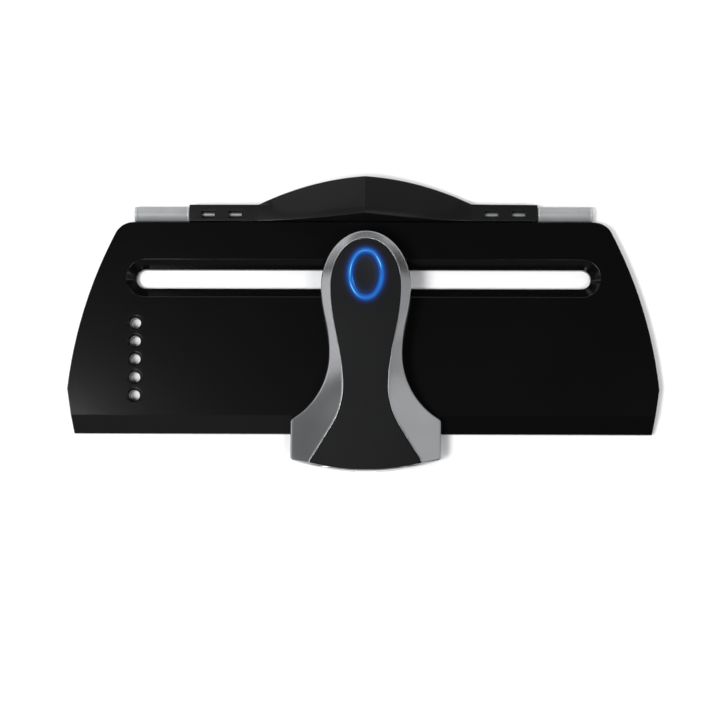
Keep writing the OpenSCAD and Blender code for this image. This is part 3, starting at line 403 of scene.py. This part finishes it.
def crest(y):
    """Height along the face's middle: level under the ring, a parabola behind it, an eased fall in front."""
    rear, front = RING_L / 2 - RING_SET, -RING_L / 2 - RING_SET
    back = TOP_Z - REAR_FALL * np.clip((y - rear) / (HEAD_REAR - rear), 0, None) ** 2
    ahead = mix(TOP_Z, FRONT_Z, ease(np.clip((front - y) / (front + FOOT_FRONT), 0, 1)))
    return np.where(y > rear, back, ahead)


def face_top(x, y):
    """Crowned face: the crest less a parabola across, which falls CROWN at the head's sides."""
    return crest(y) - CROWN * (2 * x / FACE_W) ** 2


def face_half(y):
    """Half width of the face in front of the head: an eased waist, then an arc that flares."""
    waist = mix(FACE_W, FACE_WAIST_W, ease(np.clip((-y - FACE_SET) / (FACE_WAIST_SET - FACE_SET), 0, 1))) / 2
    run = np.clip(-(y + FACE_WAIST_SET), 0, FACE_FLARE_R)
    return waist + FACE_FLARE_R - np.sqrt(FACE_FLARE_R ** 2 - run ** 2)


def half_curves():
    """Right halves from rear to front: outer x, y, face x, y and the height of the shell's outer edge."""
    flare = math.acos(1 - (FOOT_W - WAIST_W) / 2 / FLARE_R)
    wing_y = -WAIST_SET - FLARE_R * math.sin(flare)
    corner_y = -FOOT_FRONT + FOOT_BOW
    front_r = (FOOT_W ** 2 / 4 + FOOT_BOW ** 2) / 2 / FOOT_BOW
    face_mid, face_end = -WAIST_SET - FACE_LAG, wing_y - FACE_LAG
    a = np.linspace(np.pi / 2, 0, HEAD_STEPS + 1)
    head = [HEAD_W / 2 * np.cos(a), (HEAD_REAR + HEAD_SET) * np.sin(a) - HEAD_SET,
            FACE_W / 2 * np.cos(a), (FACE_REAR + FACE_SET) * np.sin(a) - FACE_SET, np.full_like(a, HEAD_EDGE)]
    t = np.linspace(0, 1, NECK_STEPS + 1)[1:]
    y = mix(-FACE_SET, face_mid, t)
    neck = [mix(HEAD_W, WAIST_W, ease(t)) / 2, mix(-HEAD_SET, -WAIST_SET, t), face_half(y), y,
            mix(HEAD_EDGE, WAIST_EDGE, ease(t))]
    t = np.linspace(0, 1, WING_STEPS + 1)[1:]
    y = mix(face_mid, face_end, t)
    wing = [WAIST_W / 2 + FLARE_R * (1 - np.cos(flare * t)), -WAIST_SET - FLARE_R * np.sin(flare * t),
            face_half(y), y, mix(WAIST_EDGE, WING_EDGE, t ** WING_FALL)]
    t = np.linspace(0, 1, SIDE_STEPS + 1)[1:]
    corner = np.array([FACE_FOOT_W / 2, corner_y - CORNER_RIM])
    side = [np.full_like(t, FOOT_W / 2), mix(wing_y, corner_y, t), mix(face_half(face_end), corner[0], t),
            mix(face_end, corner[1], t), mix(WING_EDGE, FOOT_EDGE, t)]
    u = np.linspace(1, 0, FRONT_STEPS + 1)[1:]
    x, qx, qy = FOOT_W / 2 * u, corner[0] * u, mix(-FOOT_FRONT + FRONT_RIM, corner[1], u * u)
    front = [x, -FOOT_FRONT + front_r - np.sqrt(front_r ** 2 - x ** 2), qx, qy,
             mix(face_top(qx, qy) - FRONT_RIM, FOOT_EDGE, ease(np.clip(2 * u - 1, 0, 1)))]
    return np.concatenate([np.array(part) for part in (head, neck, wing, side, front)], 1)


def mirrored(half):
    """A closed loop from a right half: the same points with x turned round, walked back to the start."""
    back = half[:, -2:0:-1].copy()
    back[[0, 2]] *= -1
    return np.concatenate([half, back], 1)


def blurred(loop, sigma):
    """Gaussian blur along a closed loop of even steps, with sigma in steps, by its Fourier series."""
    wave = np.fft.rfftfreq(loop.shape[1])
    damped = np.fft.rfft(loop, axis=1) * np.exp(-2 * (np.pi * wave * sigma) ** 2)
    return np.fft.irfft(damped, loop.shape[1], axis=1)


def even(half, count):
    """The half curves at count even steps of the outer curve's length."""
    length = np.concatenate([[0], np.cumsum(np.hypot(*np.diff(half[:2], axis=1)))])
    stops = np.linspace(0, length[-1], count)
    return np.stack([np.interp(stops, length, row) for row in half]), length[-1]


half, half_length = even(half_curves(), HALF_COUNT)
step_mm = half_length / (HALF_COUNT - 1)
soft_loop = blurred(mirrored(half), CORNER_BLUR / step_mm)
print("reader outline", round(2 * half_length, 1), "mm in steps of", round(step_mm, 2), "mm")

# %% [markdown]
# ## The silver shell
# The shell rises from the foot, turns over a rounded shoulder into a sloped band with a slight bulge, and
# ends in a thin lip round the face. It could be a subdivided cage, but its outline changes height all the
# way round, so each profile point is worked out for the whole outline at once and the profile is carried
# round as one closed grid.

# %% The silver shell
SHELL_T, TUCK, FACE_T, LEDGE_W, LEDGE_T = 2.2, 0.2, 2, 1.2, 1.6
BAND_BULGE, LIP_R, SHOULDER_R, SEAT_GAP = 0.01, 0.35, 1.0, 0.15
BASE_Z, FOOT_CLEAR, WALL_LIFT, BASE_T, FIT = 10.6, 0.8, 0.2, 1.6, 0.1
NOTCH_W, NOTCH_H = 12, 11.4
# Most of the band's width that a round at its border may take, and the rows of each stretch
ROUND_MOST, SHOULDER_ROWS, BAND_ROWS, LIP_ROWS = 0.3, 8, 13, 5


def inset(x, y, d):
    """A closed outline moved inwards by d along the normals of its smoothed tangent."""
    tx, ty = np.roll(x, -1) - np.roll(x, 1), np.roll(y, -1) - np.roll(y, 1)
    size = np.hypot(tx, ty)
    return x + d * ty / size, y - d * tx / size


ox, oy, fx, fy, edge_z = soft_loop
fz = face_top(fx, fy)
wall_z = np.where(oy > -PLATE_FRONT - FOOT_GAP, BASE_Z, FOOT_CLEAR) + WALL_LIFT
wall_z = np.where((np.abs(ox) < NOTCH_W / 2) & (oy < -PLATE_FRONT), NOTCH_H, wall_z)
band_w = np.hypot(fx - ox, fy - oy)
band_from = np.clip(SHOULDER_R / band_w, 0, ROUND_MOST)
band_to = 1 - np.clip(LIP_R / band_w, 0, ROUND_MOST)


def level(x, y, z):
    """One row of a grid: the points x, y at height z."""
    return np.stack([x, y, np.broadcast_to(z, x.shape)], -1)


def band(t):
    """One row of the band, a share t of the way from the outer edge to the face, with its slight bulge."""
    bulge = BAND_BULGE * band_w * np.sin(np.pi * t)
    return level(mix(ox, fx, t), mix(oy, fy, t), mix(edge_z, fz, t) + bulge)


def shoulder(k):
    """Quadratic curve from the wall over the outer edge on to the band."""
    low, corner = level(ox, oy, edge_z - SHOULDER_R), level(ox, oy, edge_z)
    return (1 - k) ** 2 * low + 2 * k * (1 - k) * corner + k ** 2 * band(band_from)


def lip(k):
    """Quarter turn from the band's end down into the groove round the face."""
    out_x, out_y = inset(fx, fy, -LIP_R * (1 - np.sin(k * np.pi / 2)))
    return level(out_x, out_y, fz - LIP_R * (1 - np.cos(k * np.pi / 2)))


ix, iy = inset(ox, oy, SHELL_T)
lx, ly = inset(fx, fy, LEDGE_W)
inner_z = np.maximum(BASE_Z + BASE_T + FIT, np.minimum(edge_z - SHELL_T, fz - FACE_T - LEDGE_T - WALL_LIFT))
middle_z = (wall_z + edge_z - SHOULDER_R) / 2
shell_rows = [level(*inset(ox, oy, TUCK), wall_z), level(*inset(ox, oy, TUCK / 2), middle_z)]
shell_rows += [shoulder(k) for k in np.linspace(0, 1, SHOULDER_ROWS)]
shell_rows += [band(mix(band_from, band_to, k)) for k in np.linspace(0, 1, BAND_ROWS + 1)[1:]]
shell_rows += [lip(k) for k in np.linspace(0, 1, LIP_ROWS + 1)[1:]]
shell_rows += [level(fx, fy, fz - FACE_T - SEAT_GAP), level(lx, ly, fz - FACE_T - SEAT_GAP),
               level(lx, ly, fz - FACE_T - LEDGE_T), level(ix, iy, inner_z), level(ix, iy, wall_z)]
piece_from("silver_shell", [(np.stack(shell_rows), True, True)], "reader", silver_paint,
           ["reader_housing"], (READER_X, SLOT_Y))

# %% [markdown]
# ## The soft face
# The black face is one crowned slab with an oval opening for the lit ring. A grid with a hole is easiest as
# a ring: rays run from the opening to the outline. The foot is wider than the waist, so straight rays would
# leave the piece. They are straight in a stretched plan instead, where every line across has the head's
# width, and are then squeezed back. The height comes from the crown's formula at each point.

# %% The soft face
EDGE_R, HOLE_R, SPILL_MM = 0.35, 0.3, 0.8
# Radius of an oval's ends as a share of its width
OVAL_END = 0.38
# Rows close to the opening, where the ring's light is painted as a glow: distance, and the most of the ray
# that each step takes
NEAR_MM, NEAR_SHARE = (0.6, 1, 1.5, 2.1, 2.8, 3.6, 4.4), 0.1
TOP_ROWS, UNDER_ROWS, ROUND_ROWS = 24, 10, 5


def oval_ray(width, length, angle):
    """Distance from the centre of an oval of four tangent arcs to its border, at each angle from +X."""
    end_r = width * OVAL_END
    end_y = length / 2 - end_r
    side = (width ** 2 / 4 + end_y ** 2 - end_r ** 2) / (width - 2 * end_r)
    off = side - width / 2
    c, s = np.abs(np.cos(angle)), np.abs(np.sin(angle))
    on_side = -off * c + np.sqrt(side ** 2 - off ** 2 * s ** 2)
    on_end = end_y * s + np.sqrt(np.maximum(end_r ** 2 - (end_y * c) ** 2, 0))
    join = math.atan2(end_y * side / math.hypot(off, end_y), off * side / math.hypot(off, end_y) - off)
    return np.where(np.arctan2(s, c) < join, on_side, on_end)


def stretch(x, y):
    """Plan in which each line across the face in front of the head is as wide as the head."""
    return x * FACE_W / 2 / face_half(np.minimum(y, -FACE_SET))


def squeeze(x, y):
    """Back from the stretched plan."""
    return x / (FACE_W / 2) * face_half(np.minimum(y, -FACE_SET))


ex, ey = inset(fx, fy, FIT + EDGE_R)
sx, sy = stretch(ex, ey), ey + RING_SET
ray_angle, ray_end = np.arctan2(sy, sx), np.hypot(sx, sy)
ray_start = oval_ray(RING_W, RING_L, ray_angle)


def face_row(reach, sink):
    """One row of the face at a distance along the rays, with sink mm taken off the crowned height."""
    y = reach * np.sin(ray_angle) - RING_SET
    x = squeeze(reach * np.cos(ray_angle), y)
    return level(x, y, face_top(x, y) - sink)


def border_row(inwards, sink):
    """One row of the rounded border, moved in from the face's outline along its normals."""
    x, y = inset(fx, fy, FIT + inwards)
    return level(x, y, face_top(x, y) - sink)


quarter = np.linspace(0, np.pi / 2, ROUND_ROWS)
top_plan = [(ray_start, FACE_T)]
top_plan += [(ray_start + HOLE_R * (1 - np.cos(a)), HOLE_R * (1 - np.sin(a))) for a in quarter]
top_plan += [(np.minimum(ray_start + d, mix(ray_start, ray_end, NEAR_SHARE * k)), 0)
             for k, d in enumerate(NEAR_MM, 1)]
last = top_plan[-1][0]
top_plan += [(mix(last, ray_end, t), 0) for t in np.linspace(0, 1, TOP_ROWS + 2)[1:-1]]
border_plan = [(EDGE_R * (1 - np.sin(a)), EDGE_R * (1 - np.cos(a))) for a in quarter] + [(0, FACE_T)]
under_plan = [(mix(ray_end, ray_start, t), FACE_T) for t in np.linspace(0, 1, UNDER_ROWS + 2)[1:-1]]
face_grid = np.stack([face_row(*p) for p in top_plan] + [border_row(*p) for p in border_plan]
                     + [face_row(*p) for p in under_plan])
# Painted glow of the ring's light on the face: 1 at the opening's edge, fading over SPILL_MM along the rays,
# none elsewhere
spill = np.zeros(face_grid.shape[:2])
spill[1:len(top_plan)] = [np.exp((ray_start - reach) / SPILL_MM) for reach, _ in top_plan[1:]]
piece_from("soft_face", [(face_grid, True, True)], "reader", soft_black, ["reader_face"],
           (READER_X, SLOT_Y), {"spill": spill})

# %% [markdown]
# ## Ring and button
# The ring is the space between two ovals, with an arched top that stands a little proud of the face. Its
# light is a hump across the ring and a few streaks, each a Gaussian round one angle and one place across.
# The button fills the inner oval: a shallow dish with a rounded border. Both are polar grids, so the ring
# closes both ways and the button's rows shrink to a pole in the middle.

# %% Ring and button
BUTTON_W, BUTTON_L, BUTTON_GAP, RING_PROUD, RING_ARCH = 13.8, 22.2, 0.15, 0.3, 0.45
RING_FOOT, RING_CLEAR, BUTTON_DISH, BUTTON_SINK, BUTTON_EDGE = 31.2, 0.2, 0.35, 0.1, 0.5
# The button's rounded border and its dish as shares of its size, and the painted glow of the ring's light at
# its border
BUTTON_ROUND, DISH_FROM, DISH_TO, RIM_SPILL = 0.06, 0.9, 0.04, 0.6
RING_ROWS, DISH_ROWS, OVAL_STEPS = 25, 16, 256
around = whole_turn(OVAL_STEPS)
# Streaks in the ring: angle and spread in degrees, place across from the outside, strength
STREAKS = ((163, 34, 0.42, 0.6), (95, 26, 0.42, 0.35), (42, 20, 0.38, 0.8), (228, 22, 0.2, 0.6),
           (210, 26, 0.8, 0.7), (-20, 22, 0.5, 0.25))
STREAK_W, HUMP, HUMP_AT, HUMP_W = 0.10, 0.54, 0.25, 0.66


def oval_row(width, length, z):
    """One closed row of points on an oval at height z."""
    reach = oval_ray(width, length, around)
    return level(reach * np.cos(around), reach * np.sin(around), z)


def ring_light(across):
    """Amount of light at places across (0 outside, 1 inside) and all angles: Gaussian hump and streaks."""
    across = across[:, None]
    light = HUMP * np.exp(-((across - HUMP_AT) / HUMP_W) ** 2 * 2) + 0 * around
    for angle, spread, place, strength in STREAKS:
        off = (np.degrees(around) - angle + 180) % 360 - 180
        light = light + strength * np.exp(-(off / spread) ** 2 - ((across - place) / STREAK_W) ** 2)
    return np.clip(light, 0, 1)


share = np.linspace(0, 1, RING_ROWS)
ring_w, ring_l = RING_W - RING_CLEAR, RING_L - RING_CLEAR
ring_ovals = [(mix(ring_w, BUTTON_W, t), mix(ring_l, BUTTON_L, t),
               TOP_Z + RING_PROUD - RING_ARCH * (2 * t - 1) ** 4) for t in share]
ring_rows = [oval_row(ring_w, ring_l, RING_FOOT)] + [oval_row(*o) for o in ring_ovals]
ring_rows += [oval_row(BUTTON_W, BUTTON_L, RING_FOOT)]
ring_lit = ring_light(np.array([0, *share, 1]))
piece_from("light_guide", [(np.stack(ring_rows), True, True)], "reader", ring_blue,
           ["light_ring"], (READER_X, SLOT_Y - RING_SET), {"lit": ring_lit})

cap_w, cap_l = BUTTON_W - 2 * BUTTON_GAP, BUTTON_L - 2 * BUTTON_GAP
cap_top = TOP_Z + RING_PROUD - BUTTON_SINK
cap_plan = [(1, RING_FOOT - cap_top), (1, -BUTTON_EDGE)]
cap_plan += [(1 - BUTTON_ROUND * (1 - np.cos(a)), -BUTTON_EDGE * (1 - np.sin(a))) for a in quarter[1:]]
cap_plan += [(r, -BUTTON_DISH * (1 - (r / (1 - BUTTON_ROUND)) ** 2))
             for r in np.linspace(DISH_FROM, DISH_TO, DISH_ROWS)]
cap_rows = [oval_row(cap_w * r, cap_l * r, cap_top + z) for r, z in cap_plan]
pole = 0 * around
cap_rows = [level(pole, pole, RING_FOOT)] + cap_rows + [level(pole, pole, cap_top - BUTTON_DISH)]
# Painted glow of the ring's light on the button: RIM_SPILL on its border, then fading towards the middle
cap_spill = [0, 0, RIM_SPILL] + [math.exp(-(1 - r) * cap_w / 2 / SPILL_MM) for r, _ in cap_plan[2:]] + [0]
piece_from("button_dish", [(np.stack(cap_rows), False, True)], "button", button_black,
           ["button_cap"], (READER_X, SLOT_Y - RING_SET), {"spill": np.repeat(cap_spill, len(around))})

# %% [markdown]
# ## Rollers
# Each roller is a turned sleeve between two collars. A turned piece is a profile carried round its axis:
# each profile point has a place along the axis and a radius, and the radius is multiplied by the cosine
# and sine of the turn. A screw modifier would do the same, but a grid keeps the bore and ends in one mesh.

# %% Rollers
sleeve_low, sleeve_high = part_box("roller_sleeves")
_, collar_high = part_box("roller_collars")
axle_low, axle_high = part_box("roller_axle")
AXIS_Y, AXIS_Z = (500 * (sleeve_low[k] + sleeve_high[k]) for k in (1, 2))
ROLLER_R, BORE_R = 500 * (sleeve_high[2] - sleeve_low[2]), 500 * (axle_high[2] - axle_low[2])
ROLLER_END, COLLAR_L = 1000 * collar_high[0], 1000 * (collar_high[0] - sleeve_high[0])
COVER_END, ROLLER_GAP = 1000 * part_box("roller_cover")[1][0], 0.3
GRIP_SINK, GRIP_ROUND, COLLAR_ROUND, SPIN_STEPS = 0.12, 0.25, 0.35, 96
spin = whole_turn(SPIN_STEPS)


def lathe(x0, x1, radius, round_mm):
    """A tube about the roller axis from x0 to x1: a profile with rounded outer edges, carried round."""
    rise, fall = round_mm * (1 - np.cos(quarter)), round_mm * (1 - np.sin(quarter))
    x = np.concatenate([[x0], x0 + rise, x1 - fall, [x1]])[:, None]
    r = np.concatenate([[BORE_R], radius - fall, radius - rise, [BORE_R]])[:, None]
    grid = np.stack([x + 0 * spin, AXIS_Y + r * np.cos(spin), AXIS_Z + r * np.sin(spin)], -1)
    return grid, True, True


inner = COVER_END + ROLLER_GAP
grip_from, grip_to = inner + COLLAR_L, ROLLER_END - COLLAR_L
sleeves = [lathe(a, b, ROLLER_R - GRIP_SINK, GRIP_ROUND)
           for a, b in ((grip_from, grip_to), (-grip_to, -grip_from))]
collars = [lathe(a, a + COLLAR_L, ROLLER_R, COLLAR_ROUND)
           for a in (inner, grip_to, -ROLLER_END, -grip_from)]
piece_from("roller_grips", sleeves, "rollers", grip_grey, ["roller_sleeves"])
piece_from("roller_caps", collars, "rollers", collar_pale, ["roller_collars"])

# %% [markdown]
# ## Floor
# The calibrator lies on a pale laminate table. The lamps light the middle of the table alone, so its far
# part has a light of its own that grows with the distance.

# %% Floor
FLOOR, FADE_FROM, FADE_TO = 6.0, 0.42, 1.5
WHITES = ("#f4f5f6", "#f8f8f9", 300, 40, 0.001)


def set_piece(name, points, faces, material):
    """A plain mesh of the studio, in metres, whose own glow isn't sampled as a lamp."""
    mesh = bpy.data.meshes.new(name)
    mesh.from_pydata(points, [], faces)
    material.cycles.emission_sampling = "NONE"
    mesh.materials.append(material)
    piece = bpy.data.objects.new(name, mesh)
    bpy.context.scene.collection.objects.link(piece)
    print(name, len(mesh.polygons), "faces")
    return piece


table_white, tree, shader = dressed(
    "table_white_laminate", *WHITES, (0.6, 0.7), Emission_Color=linear("#ffffff"))
table_place = add(tree, "ShaderNodeTexCoord").outputs["Object"]
far = add(tree, "ShaderNodeVectorMath", {0: table_place}, operation="LENGTH").outputs["Value"]
far_light = add(tree, "ShaderNodeMapRange", {"Value": far}, From_Min=FADE_FROM, From_Max=FADE_TO)
tree.links.new(far_light.outputs["Result"], shader.inputs["Emission Strength"])
corners = [(-FLOOR, -FLOOR, 0), (FLOOR, -FLOOR, 0), (FLOOR, FLOOR, 0), (-FLOOR, FLOOR, 0)]
floor = set_piece("floor", corners, [(0, 1, 2, 3)], table_white)

# %% [markdown]
# ## Backdrop
# Low views look past the table at a white wall. The wall is a circle, lit by itself and seen by the camera
# alone: it neither lights the object nor shows in its gloss, which keeps the black plastic black.

# %% Backdrop
BACKDROP_R, BACKDROP_H, BACKDROP_SINK, BACKDROP_STEPS = 5.5, 6.0, 0.05, 96
wall_angle = whole_turn(BACKDROP_STEPS)
wall_x, wall_y = BACKDROP_R * np.cos(wall_angle), BACKDROP_R * np.sin(wall_angle)
wall_points = np.concatenate([level(wall_x, wall_y, z) for z in (-BACKDROP_SINK, BACKDROP_H)])
paper_white, _, _ = dressed(
    "backdrop_white_paper", *WHITES, (0.8, 0.9), Emission_Color=linear("#ffffff"), Emission_Strength=1.0)
wall_faces = quads(2, BACKDROP_STEPS, wrap_columns=True)
backdrop = set_piece("backdrop", wall_points.tolist(), wall_faces.tolist(), paper_white)
for ray in ("diffuse", "glossy", "shadow", "transmission"):
    setattr(backdrop, "visible_" + ray, False)

# %% [markdown]
# ## Lights
# Black plastic and silver paint mirror whatever stands where their slope points, so each light has a job:
# one high on the left grades the plate from left to right, two high in front light the floor of the slot
# and holes from either side of what the slot's rim mirrors, and cards at the sides and rear are what the
# sloped silver band and the hood mirror. Straight above the plate it stays dark. The lights themselves
# never show.

# %% Lights
# Name, place in metres, width and height in metres, power in watts
LIGHTS = (
    ("high_left", (-0.64, -0.23, 1.88), (0.46, 0.46), 15.5),
    ("high_front_left", (-0.55, -0.52, 1.87), (0.5, 0.5), 16),
    ("high_front_right", (0.50, -0.55, 1.87), (0.4, 0.4), 9),
    ("card_left", (-1.25, 0.0, 0.42), (0.9, 0.85), 3.3),
    ("card_right", (1.25, 0.0, 0.42), (0.9, 0.85), 1.85),
    ("high_right", (0.87, 0.0, 0.97), (0.75, 0.5), 1.4),
    ("front_fill", (0.0, -1.16, 0.59), (0.9, 0.5), 1.0),
    ("front_left", (-0.43, -0.75, 0.97), (0.75, 0.5), 0.4),
    ("mid_left", (-0.87, 0.0, 0.97), (0.75, 0.5), 0.1),
    ("front_low", (0.0, -1.22, 0.2), (1.6, 0.36), 0.25),
    ("rear_strip", (0.0, 1.16, 0.59), (2.6, 0.5), 14.3),
    ("rear_low", (-0.91, 0.91, 0.18), (0.9, 0.34), 0.55),
    ("rear_left", (-0.43, 0.75, 0.97), (0.75, 0.5), 0.8),
    ("rear_right", (0.43, 0.75, 0.97), (0.75, 0.5), 0.25),
)
ROOM_GREY = 0.03


def softbox(name, at, size, power):
    """A rectangular area light, turned to the middle of the table."""
    lamp = bpy.data.lights.new(name, "AREA")
    lamp.shape, lamp.energy = "RECTANGLE", power
    lamp.size, lamp.size_y = size
    holder = bpy.data.objects.new(name, lamp)
    holder.visible_camera = False
    bpy.context.scene.collection.objects.link(holder)
    aim = Vector(at).normalized().to_track_quat("Z", "Y")
    holder.matrix_world = Matrix.Translation(at) @ aim.to_matrix().to_4x4()


for light in LIGHTS:
    softbox(*light)
world = bpy.data.worlds.new("studio")
world.use_nodes = True
world.node_tree.nodes["Background"].inputs["Color"].default_value = (ROOM_GREY, ROOM_GREY, ROOM_GREY, 1)
bpy.context.scene.world = world
bpy.context.scene.view_settings.view_transform = "Standard"
print("lights", len(LIGHTS))
